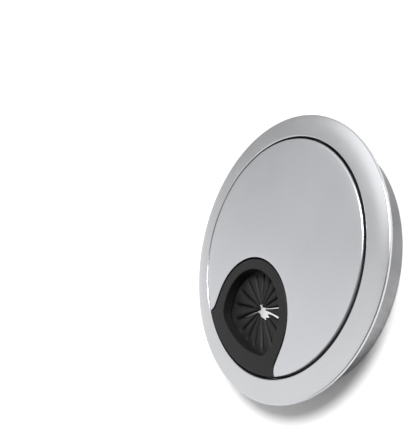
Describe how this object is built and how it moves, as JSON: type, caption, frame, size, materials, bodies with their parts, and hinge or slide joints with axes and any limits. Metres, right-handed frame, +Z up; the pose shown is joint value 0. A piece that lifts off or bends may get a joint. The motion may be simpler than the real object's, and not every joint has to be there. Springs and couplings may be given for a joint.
{
  "type": "desk grommet",
  "caption": "Round metal desk grommet: crowned flange ring on a plain sleeve, with a lift-out lid that turns and a slit rubber cable outlet in a black frame.",
  "frame": {"origin": "centre of the sleeve's bottom rim, on the ring's axis", "axes": "+Z up along the ring's axis, out of the desktop; -Y towards the cable outlet; +X to the right seen from the outlet side"},
  "size_m": [0.088, 0.088, 0.0114],
  "materials": {
    "flange_metal": "satin nickel plated zinc die casting",
    "lid_metal": "satin nickel plated zinc die casting",
    "seat_plastic": "smooth black acetal",
    "frame_plastic": "fine matt black ABS moulding",
    "seal_rubber": "matt black moulded rubber",
    "retainer_plastic": "matt black ABS moulding",
    "frame_screw_steel": "zinc plated steel",
    "clamp_screw_steel": "black oxide steel"
  },
  "bodies": {
    "bezel": {"bezel_ring": "flange_metal"},
    "seat": {"seat_ring": "seat_plastic"},
    "lid": {"lid_plate": "lid_metal", "outlet_frame": "frame_plastic", "iris_seal": "seal_rubber", "iris_retainer": "retainer_plastic", "frame_screw_1": "frame_screw_steel", "frame_screw_2": "frame_screw_steel", "frame_screw_3": "frame_screw_steel", "clamp_screw_1": "clamp_screw_steel", "clamp_screw_2": "clamp_screw_steel", "clamp_screw_3": "clamp_screw_steel", "clamp_screw_4": "clamp_screw_steel"}
  },
  "joints": [
    {"name": "lid_turn", "type": "hinge", "parent": "bezel", "child": "seat", "pos_m": [0, 0, 0.0064], "axis": [0, 0, 1], "continuous": true},
    {"name": "lid_lift", "type": "slide", "parent": "seat", "child": "lid", "axis": [0, 0, 1], "range_m": [0, 0.025]}
  ]
}
